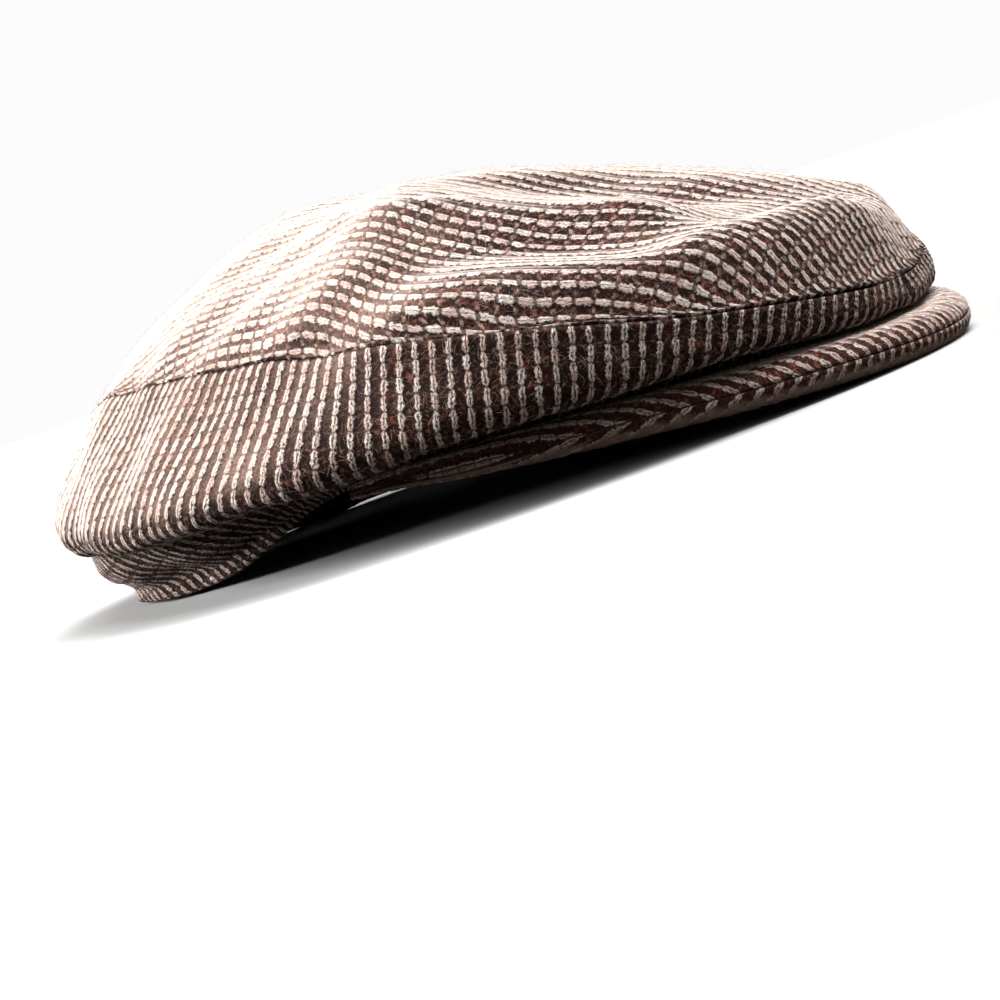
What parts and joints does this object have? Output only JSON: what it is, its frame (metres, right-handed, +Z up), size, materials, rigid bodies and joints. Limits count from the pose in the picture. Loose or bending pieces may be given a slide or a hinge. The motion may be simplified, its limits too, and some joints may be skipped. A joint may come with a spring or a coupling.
{
  "type": "duckbill cap",
  "caption": "Tweed duckbill cap with a one-piece top drawn forward over a short stiff peak, side panels that bulge below the top seam, and a tucked-in band at the back.",
  "frame": {"origin": "the middle of the cap's box, on the surface it rests on", "axes": "+Z up from that surface, +Y to the back of the cap, -Y to the peak, -X to the wearer's right"},
  "size_m": [0.238, 0.2662, 0.089],
  "materials": {
    "tweed": "coarse ribbed wool tweed, cream on dark brown",
    "peak_tweed": "the same tweed stretched over the stiff peak"
  },
  "bodies": {
    "root": {"top_panel": "tweed", "side_panel_right": "tweed", "side_panel_left": "tweed", "peak_top": "peak_tweed", "peak_under": "peak_tweed"}
  },
  "joints": []
}
